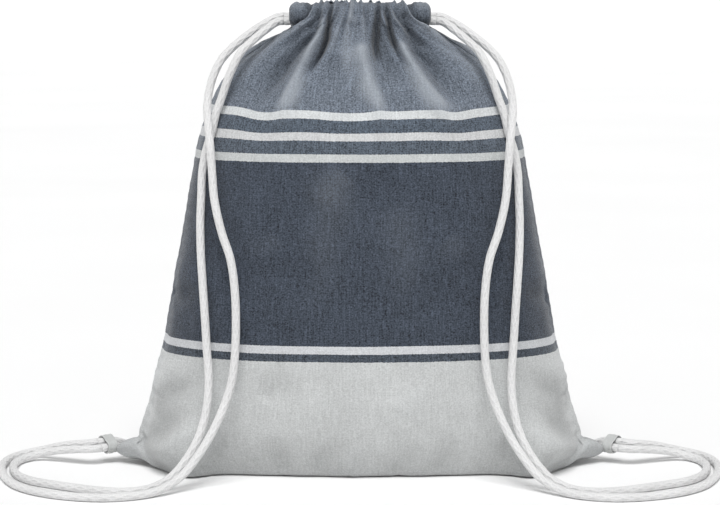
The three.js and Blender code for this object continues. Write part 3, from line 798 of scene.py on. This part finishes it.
def all_low_creases(x, z, facing):
    low = np.zeros_like(x)
    for hand in (-1, 1):
        side_shift = 0.0 if hand * facing < 0 else 4.0
        low += crease_displacement(x + hand * side_shift, z, LOW_CREASES, hand)
    if facing < 0:
        low += crease_displacement(x, z, FRONT_SWELLS, 1)
    return low


def held_back(push, heights, fraction, facing):
    """Keeps the folds out of the seams and out of the casing's tube."""
    if facing > 0:
        level, place = SHOULDER_AT
        push = push + SHOULDER * bell(heights - level, 10) * bell(np.abs(fraction) - place, 0.06)
    edge_fade = np.clip(np.minimum(u, 1 - u) / 0.02, 0.25, 1)[None, :]
    push = push * np.where(heights > 326, 1.0, edge_fade)
    deepest = np.interp(heights, *DEEPEST)
    return np.where(push < 0, -deepest * np.tanh(-push / deepest), push)


def stripe_sway(fraction, heights, facing):
    """How far the stripes rise, in millimetres: most in the top one, less on the back."""
    sway = np.interp(fraction, *STRIPE_SWAY)
    sway = sum(np.roll(sway, shift, axis=1) for shift in range(-6, 7)) / 13
    if facing > 0:
        sway = 0.7 * sway[:, ::-1]
    return sway * ease((heights - 225) / 46) ** 2


def painted_light_and_wear_of(push, narrow, low, seam, fraction, heights, z):
    """Painted light: a painted highlight on crests, and painted shade in creases and on the sides lower
    down. Seams and ears are also made paler.
    """
    crest = bell(heights - 281, 11) * np.clip(push / 4.0, 0, 1.2)
    ridge = np.where(push < 0, push / 9.0, push / 5.5) * near_top(heights) + 0.9 * crest + 0.35 * seam
    ridge += np.where(narrow < 0, narrow / 5.0, 0) + low / 18
    ridge -= 0.17 * ease((np.abs(fraction) - 0.5) / 0.5) * ease((250 - heights) / 40)
    return ridge + 0.12 * EAR[None, :] * ease((30 - z) / 12)


def panel_grid(facing):
    """The finished outer face of a panel, its thread levels and its painted light and wear. facing is -1
    for the front.
    """
    grid, levels = panel_rows(CORNER_FULLNESS if facing < 0 else 0.0)
    grid = soften(grid, 4, slice(3, len(BASE_STEPS) + 5))
    x, z = grid[..., 0] / MM, grid[..., 2] / MM
    heights = np.minimum(levels / MM, TOP_LEVEL)
    fraction = AROUND[None, :] * np.ones_like(x)
    seam = bell((1 - np.abs(fraction)) * HALF_ROUND, SEAM_SPREAD)
    push, narrow = fold_displacement(x, heights, FRONT_FOLDS if facing < 0 else BACK_FOLDS)
    low = all_low_creases(x, z, facing)
    push = push + low + unevenness(grid, heights, fraction, seam, facing)
    push = held_back(push, heights, fraction, facing)
    grid = grid + grid_normals(grid) * push[..., None] * MM
    grid[..., 2] = np.maximum(grid[..., 2], FLOOR_GAP)
    top = TOP_WAVE * perlin(grid * (1, 0.3, 0.3), 130, (SEAT[facing][2], 0.0, 2.0))
    grid[..., 2] += top * ease((heights - 338) / 8)
    grid = keep_clear(grid, grid_normals(grid), facing)
    levels = levels - stripe_sway(fraction, heights, facing) * MM
    return grid, levels, painted_light_and_wear_of(push, narrow, low, seam, fraction, heights, z)


cord_tree = KDTree(sum(len(line) for line in cord_lines))
for k, point in enumerate(p for line in cord_lines for p in line):
    cord_tree.insert(point, k)
cord_tree.balance()
CORD_CLEAR = CORD_RADIUS + 1.0 * MM


def keep_clear(grid, normals, facing):
    """Presses the cloth in wherever it would be closer to a cord than its own radius."""
    press = np.zeros(grid.shape[:2])
    for i, j in np.ndindex(*press.shape):
        point = grid[i, j] * (1, -facing, 1)
        near, _, distance = cord_tree.find(point)
        if distance < CORD_CLEAR + 4 * MM:
            outward = normals[i, j] * (1, -facing, 1)
            offset = np.array(near) - point
            along = float(offset @ outward)
            sideways = math.sqrt(max(distance ** 2 - along ** 2, 0))
            if sideways < CORD_CLEAR:
                press[i, j] = max(0.0, math.sqrt(CORD_CLEAR ** 2 - sideways ** 2) - along)
    for _ in range(3):
        spread = press.copy()
        spread[1:-1, 1:-1] = (press[1:-1, 1:-1] * 2 + press[:-2, 1:-1] + press[2:, 1:-1]
                              + press[1:-1, :-2] + press[1:-1, 2:]) / 6
        press = np.maximum(press, spread)
    return grid - normals * press[..., None]


SEAM_GAP, WEAVE_WIDTH, CLOTH_THICK = 0.15 * MM, 0.36, 0.8 * MM


def finish_cloth(piece, painted_light_and_wear, thickness):
    # Stores the painted shade and highlight values for the shader, then thickens the cloth.
    attribute = piece.data.attributes.new("painted_light_and_wear", "FLOAT", "POINT")
    attribute.data.foreach_set("value", np.clip(painted_light_and_wear, -1, 1).ravel())
    solidify = piece.modifiers.new("thickness", "SOLIDIFY")
    solidify.thickness = thickness
    solidify.offset = -1
    return piece


def sheet_object(name, grid, levels, painted_light_and_wear, facing):
    rows, columns = grid.shape[:2]
    placed_grid = grid * (1, -facing, 1)
    placed_grid[..., 1] += facing * SEAM_GAP
    run = np.linalg.norm(np.diff(grid, axis=1), axis=2).sum(axis=1)
    across = (u[None, :] - 0.5) * (0.5 * run[:, None] + 0.5 * WEAVE_WIDTH)
    faces, uvs = [], []
    for i, j in np.ndindex(rows - 1, columns - 1):
        corners = [(i, j), (i, j + 1), (i + 1, j + 1), (i + 1, j)][::-facing]
        faces.append(tuple(r * columns + c for r, c in corners))
        uvs += [(across[c], levels[c]) for c in corners]
    piece = new_object(name, placed_grid.reshape(-1, 3), faces, CLOTH, uvs)
    return finish_cloth(piece, painted_light_and_wear, CLOTH_THICK)


grids = {label: panel_grid(facing) for label, facing in FACES}
panels = {label: sheet_object(f"{label}_cloth", *grids[label], facing) for label, facing in FACES}
for label, panel in panels.items():
    add_piece(panel, "cloth", f"{label}_panel")

# ---- casings: the tunnel behind the top of each panel, open on the inside at both ends ----
STATIONS, CASING_RING = 150, 56
MOUTH_GAP, GAP_FROM, GAP_OVER = math.radians(58), 0.034, 0.006
SLIM, SLIM_TO, SLIM_OVER = 1.2 * MM, 0.0405, 0.004  # thinner where the panel's cloth covers it
CASING_INSET, CASING_THICK = 0.55 * MM, 0.7 * MM
# Millimetres, measured from the casing's end: a round hem, a notch behind it and a bulge between.
HEM_LONG, HEM_DROP, NOTCH_AT, NOTCH, BULGE_AT, BULGE, RING_SPREAD = 4.6, 3.8, 16.5, 0.5, 5.2, 0.2, 2.4
PLEATS = ((0.25, 1.5), (0.2, 0.83))  # depth in mm, and turn for each mm
LEAN = 0.22 * MM
# Painted light on the casings. By height round the tube there is painted shade underneath and a painted
# highlight on top, and painted shade where the panel's cloth covers the tube.
TUBE_SHADES = ((-1, -0.6, 0.1, 0.6, 1), (-0.8, -0.65, -0.2, 0.2, 0.45))
COVERED_SHADE, COVERED_FROM, COVERED_OVER = -0.6, 9 * MM, 4 * MM


def casing_radius(x, phases):
    """The casing's radius at a place along it, apart from its lean."""
    out = (CASING_HALF - abs(x)) / MM
    pleats = sum(deep * math.sin(x / MM * turn + phase) for (deep, turn), phase in zip(PLEATS, phases))
    hem = HEM_DROP * (1 - math.sqrt(1 - (1 - min(1, out / HEM_LONG)) ** 2))
    ring = BULGE * bell(out - BULGE_AT, RING_SPREAD) - NOTCH * bell(out - NOTCH_AT, RING_SPREAD)
    slim = SLIM * float(ease((SLIM_TO - abs(x)) / SLIM_OVER))
    return CASING_R - CASING_INSET - slim + (pleats - hem + ring) * MM


def casing_object(label, facing):
    rng = random.Random(11 + facing)
    phases = [rng.uniform(0, 6.28) for _ in range(3)]
    stations = np.linspace(-CASING_HALF, CASING_HALF, STATIONS)
    vertices, faces, uvs = [], [], []
    for x in stations:
        gap = MOUTH_GAP * ease((abs(x) - GAP_FROM) / GAP_OVER)
        for k in range(CASING_RING + 1):
            # the angle runs from the side that faces the mouth, once round, and back to it
            angle = gap + (TURN - 2 * gap) * k / CASING_RING
            radius = casing_radius(x, phases) + LEAN * math.sin(3 * angle + x / MM * 0.4 + phases[2])
            y = CASING_CENTRE[0] + radius * math.cos(angle)
            vertices.append((x, -facing * y, CASING_CENTRE[1] + radius * math.sin(angle)))
    columns = CASING_RING + 1
    for i, k in np.ndindex(STATIONS - 1, CASING_RING):
        corners = [(i, k), (i + 1, k), (i + 1, k + 1), (i, k + 1)][::-facing]
        faces.append(tuple(r * columns + c for r, c in corners))
        uvs += [(stations[r] * 1.6, 0.300 + c / CASING_RING * TURN * CASING_R) for r, c in corners]
    piece = new_object(f"{label}_gathered_casing", vertices, faces, CASING_CLOTH, uvs)
    places = np.array(vertices)
    # Painted shade and highlight over the tube, stored for the shader.
    shade = np.interp((places[:, 2] - CASING_CENTRE[1]) / CASING_R, *TUBE_SHADES)
    covered = ease((CASING_HALF - COVERED_FROM - np.abs(places[:, 0])) / COVERED_OVER)
    return finish_cloth(piece, shade * (1 - covered) + COVERED_SHADE * covered, CASING_THICK)


# ---- sewing ----
STITCH_SHAPE = ((0, -0.6), (0.2, 0.5), (0.5, 0.9), (0.8, 0.5), (1, -0.6))
THREAD_STEP = 0.5 * MM
CASING_THREAD, TACK_THREAD, OVERCAST_THREAD = 0.24 * MM, 0.22 * MM, 0.18 * MM      # radii
CASING_STITCH = {"pitch": 2.9 * MM, "share": 0.66}
STITCH_LEVEL, STITCH_FACING, STITCH_REACH = 0.3325, 0.75, 0.042


def stitch_mesh(start, end, out, radius, lift):
    """One stitch: a short thread that arches a little between its two holes."""
    start, end, out = (np.array(v, dtype=float) for v in (start, end, out))
    points = [start + (end - start) * t + out * lift * rise for t, rise in STITCH_SHAPE]
    return tube_mesh(points, radius, sides=6, step=THREAD_STEP)


def along_row(grid, row, facing, pitch, share):
    """Places a row of stitches on a panel's surface: start, end and outward direction of each."""
    line, outward = grid[row] * (1, -facing, 1), grid_normals(grid)[row] * (1, -facing, 1)
    along = np.concatenate([[0], np.cumsum(np.linalg.norm(np.diff(line, axis=0), axis=1))])

    def at(length, values):
        return np.array([np.interp(length, along, values[:, n]) for n in range(3)])

    stitches = []
    for k in range(int(along[-1] / pitch) - 1):
        begin = (k + 0.6) * pitch
        start, end = at(begin, line), at(begin + share * pitch, line)
        out = at(begin + share * pitch / 2, outward)
        if abs(out[1]) > STITCH_FACING and abs(start[0]) < STITCH_REACH:  # the others are in a fold
            stitches.append((start, end, out))
    return stitches


stitch_row = len(BASE_STEPS) + int(np.argmin(np.abs(WALL_LEVELS - STITCH_LEVEL)))
for label, facing in FACES:
    casing = casing_object(label, facing)
    add_piece(casing, "casing_cloth", f"{label}_casing")
    places = along_row(grids[label][0], stitch_row, facing, **CASING_STITCH)
    parts = [stitch_mesh(*place, CASING_THREAD, 0.28 * MM) for place in places]
    stitching = join_meshes(f"{label}_casing_stitches", parts, BLUE_THREAD)
    add_piece(stitching, "sewing_thread", f"{label}_casing_stitching")

ALLOWANCE, PLY, PLY_GAP, PLY_WAVE = 6 * MM, 0.45 * MM, 0.1 * MM, 0.35 * MM
PLY_STEPS = 4


def ply_mesh(outer, inward, side):
    """One ply of a seam's raw edge. It waves more towards its free edge."""
    vertices, faces, uvs = [], [], []
    for k, (a, b) in enumerate(zip(outer, inward)):
        for n in range(PLY_STEPS + 1):
            wave = PLY_WAVE * math.sin(k * 0.9 + n * 0.5 + side) * n / PLY_STEPS
            point = a + (b - a) * ALLOWANCE * n / PLY_STEPS
            vertices += [(point[0], side * thick + wave, point[2]) for thick in (PLY_GAP, PLY_GAP + PLY)]
    row = 2 * (PLY_STEPS + 1)
    for k, n in np.ndindex(len(outer) - 1, PLY_STEPS):
        i, j = k * row + n * 2, (k + 1) * row + n * 2
        faces += [(i, i + 2, j + 2, j), (i + 1, j + 1, j + 3, i + 3)]
        uvs += [(n / PLY_STEPS * ALLOWANCE, k * 2 * MM)] * 8
    return vertices, faces, uvs


def seam_allowance(name, outer, inward):
    """The raw edges inside a seam: two plies, a little wavy, overcast with thread."""
    outer, inward = np.array(outer), np.array(inward)
    parts = [ply_mesh(outer, inward, side) for side in (-1, 1)]
    for k in range(0, len(outer) - 2, 2):
        start = outer[k] + (inward[k] - outer[k]) * ALLOWANCE * 0.35
        end = outer[k + 1] + (inward[k + 1] - outer[k + 1]) * ALLOWANCE * 0.98
        for side in (-1, 1):
            start[1] = end[1] = side * 0.9 * MM
            parts.append(stitch_mesh(start, end, (0, side, 0), OVERCAST_THREAD, 0.1 * MM))
    return join_meshes(name, parts, PALE_THREAD)


for hand, side in SIDES:
    low, high = (corner[2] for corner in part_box(f"{hand}_side_seam"))
    heights = np.linspace(low + 0.001, high - 0.004, 110)
    outer = [(side * (float(half_width(z)) - 2.4 * MM), 0, z) for z in heights]
    strip = seam_allowance(f"{hand}_side_seam_allowance", outer, [(x - side, 0, z) for x, _, z in outer])
    add_piece(strip, "seam_thread", f"{hand}_side_seam")
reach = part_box("bottom_seam")[1][0]
outer = [(x, 0, 1.9 * MM) for x in np.linspace(-reach, reach, 120)]
strip = seam_allowance("bottom_seam_allowance", outer, [(x, 0, z + 1) for x, _, z in outer])
add_piece(strip, "seam_thread", "bottom_seam")

# ---- corner loops, in millimetres unless times MM ----
LOOP_HOLE = (13.6, 7.4)
LOOP_TAPE = (9.0, 1.2)
LOOP_TURN, LOOP_ROLL = math.radians(42), math.radians(35.4)
LOOP_COUNT, LOOP_SECTION, LOOP_SQUARENESS = 96, 28, 0.35
RIB_PITCH, RIB_DEPTH = 1.9, 0.14
LOOP_CURL, LOOP_WAVE, LOOP_WAVES = 0.10, 0.12, 5
TACK_FORWARD, TACK_PITCH, TACKS = 2.0, 0.4, 9
SLIT_SLANT, SLIT_DEEP, SLIT_HIGH, SLIT_THREAD = 0.1 * MM, 1.9 * MM, 0.95 * MM, 0.2 * MM
SLIT_TURNS = 8


def loop_frame(side):
    """The loop's own axes: the long way of its hole, the short way, and through the hole."""
    low, high = (Vector(corner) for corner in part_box("right_corner_loop"))
    centre = (low + high) / 2
    level = Vector((-side * math.sin(LOOP_TURN), -math.cos(LOOP_TURN), 0))
    up = Vector((0, 0, 1))
    long = level * math.cos(LOOP_ROLL) - up * math.sin(LOOP_ROLL)
    short = level * math.sin(LOOP_ROLL) + up * math.cos(LOOP_ROLL)
    turn = Matrix((long, short, long.cross(short))).transposed().to_4x4()
    return Matrix.Translation((side * centre.x, centre.y, centre.z)) @ turn


def loop_outline(count, grow):
    """Points round the loop in its own plane: (x, y, outward x, outward y), the first at its root."""
    half, radius = (LOOP_HOLE[0] - LOOP_HOLE[1]) / 2, LOOP_HOLE[1] / 2 + grow
    arc = radius * TURN / 4
    corners = np.cumsum([0, arc, 2 * half, 2 * arc, 2 * half, arc])
    along = np.arange(count) / count * corners[-1]
    angle = np.interp(along, corners, np.array((0, 1, 1, 3, 3, 4)) * TURN / 4)
    centre = np.interp(along, corners, (half, half, -half, -half, half, half))
    cos, sin = np.cos(angle), np.sin(angle)
    return np.stack([centre + radius * cos, radius * sin, cos, sin], axis=1)


def squared(value):
    return math.copysign(abs(value) ** LOOP_SQUARENESS, value)


def loop_mesh(side):
    """Ribbed tape bent round into a loop, a little curled along its edges."""
    wide, thick = LOOP_TAPE
    place = loop_frame(side)
    vertices, faces, uvs = [], [], []
    for k, (x, y, nx, ny) in enumerate(loop_outline(LOOP_COUNT, thick / 2)):
        for n in range(LOOP_SECTION):
            angle = TURN * n / LOOP_SECTION
            across = squared(math.cos(angle)) * wide / 2
            rib = 1 - RIB_DEPTH + RIB_DEPTH * math.cos(across * TURN / RIB_PITCH)
            reach = squared(math.sin(angle)) * thick / 2 * rib + LOOP_CURL * (2 * across / wide) ** 2
            reach += LOOP_WAVE * math.sin(k * TURN * LOOP_WAVES / LOOP_COUNT + across)
            vertices.append(place @ Vector(((x + nx * reach) * MM, (y + ny * reach) * MM, across * MM)))
    for k, n in np.ndindex(LOOP_COUNT, LOOP_SECTION):
        m, p = (n + 1) % LOOP_SECTION, (k + 1) % LOOP_COUNT
        faces.append(tuple(a * LOOP_SECTION + b for a, b in ((k, n), (p, n), (p, m), (k, m))))
        uvs += [(n / LOOP_SECTION * 0.02, s * 0.5 * MM) for s in (k, k + 1, k + 1, k)]
    return vertices, faces, uvs


def loop_tack_mesh(side):
    """Close zigzag stitching over the root of the loop, held by two rows across it."""
    place = loop_frame(side)
    reach, middle = LOOP_HOLE[0] / 2 + LOOP_TAPE[1] + 0.35, -side * TACK_FORWARD
    out = place.to_3x3() @ Vector((1, 0, 0))
    stitches = []
    for k in range(TACKS):
        across = middle + (k - TACKS // 2) * TACK_PITCH
        stitches.append(([(y, across + y * 0.12) for y in (-1.8, 1.8)], 0.2 * MM))
    stitches += [([(y, middle + c) for c in (-1.7, 1.7)], 0.35 * MM) for y in (-1.0, 1.0)]
    return [stitch_mesh(*(place @ (Vector((reach, y, z)) * MM) for y, z in ends), out, TACK_THREAD, lift)
            for ends, lift in stitches]


def slit_tack_mesh(side):
    """Thread wound across the side seam where the opening for the cords ends."""
    low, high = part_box("right_slit_bartack")
    middle = (low[2] + high[2]) / 2
    parts = []
    for k in range(SLIT_TURNS):
        x = side * (low[0] + (high[0] - low[0]) * (k + 0.5) / SLIT_TURNS)
        ring = []
        for n in range(13):
            cos, sin = math.cos(TURN * n / 12), math.sin(TURN * n / 12)
            ring.append((x + side * SLIT_SLANT * cos, SLIT_DEEP * cos, middle + SLIT_HIGH * sin))
        parts.append(tube_mesh(ring, SLIT_THREAD, sides=6, step=THREAD_STEP))
    return parts


for hand, side in SIDES:
    for name, meshes, material, slot, node in (
            ("tape_loop", [loop_mesh(side)], TAPE, "loop_tape", "corner_loop"),
            ("loop_stitches", loop_tack_mesh(side), PALE_THREAD, "seam_thread", "loop_bartack"),
            ("slit_stitches", slit_tack_mesh(side), BLUE_THREAD, "sewing_thread", "slit_bartack")):
        add_piece(join_meshes(f"{hand}_{name}", meshes, material), slot, f"{hand}_{node}")

# ---- studio ----
FLOOR_RADIUS, CURVE, WALL_TOP = 16.0, 4.0, 4.6  # the floor curves up into a low wall all round
SPOKES = 96
FLOOR_GREY, WORLD_STRENGTH, SUN_ENERGY = 0.93, 0.38, 2.4
SUN_TILT, SUN_ANGLE = (26, -1, 0), 35  # degrees


def floor_material():
    shader = Shader("floor")
    cloudy = shader.grain(shader.plug("TexCoord").outputs["Object"], 2.0, 2.0)
    pale = shader.tint((FLOOR_GREY,) * 3, shader.vary(cloudy, 0.99, 1.01))
    return shader.finish(pale, 0.9, shader.bump(cloudy, 0.1 * MM), sheen=0.0)


def add_floor():
    profile = [(FLOOR_RADIUS / 2, 0.0)]
    profile += [(FLOOR_RADIUS + CURVE * math.sin(a), CURVE * (1 - math.cos(a)))
                for a in np.radians(range(0, 91, 9))]
    profile.append((FLOOR_RADIUS + CURVE, WALL_TOP))
    turns = [TURN * k / SPOKES for k in range(SPOKES)]
    vertices = [(r * math.cos(a), r * math.sin(a), z) for r, z in profile for a in turns] + [(0, 0, 0)]
    faces = [(len(vertices) - 1, k, (k + 1) % SPOKES) for k in range(SPOKES)]
    for ring, k in np.ndindex(len(profile) - 1, SPOKES):
        here, beyond, n = ring * SPOKES, (ring + 1) * SPOKES, (k + 1) % SPOKES
        faces.append((here + k, beyond + k, beyond + n, here + n))
    new_object("floor", vertices, faces, floor_material())


def add_light():
    world = bpy.data.worlds.new("studio")
    bpy.context.scene.world = world
    world.use_nodes = True
    background = world.node_tree.nodes["Background"]
    background.inputs["Color"].default_value = (1.0, 1.0, 1.0, 1)
    background.inputs["Strength"].default_value = WORLD_STRENGTH
    sun = add_object("top_light", bpy.data.lights.new("top_light", "SUN"))
    sun.data.energy = SUN_ENERGY
    sun.data.angle = math.radians(SUN_ANGLE)
    sun.rotation_euler = [math.radians(a) for a in SUN_TILT]


add_floor()
add_light()
bpy.context.scene.view_settings.view_transform = "Standard"
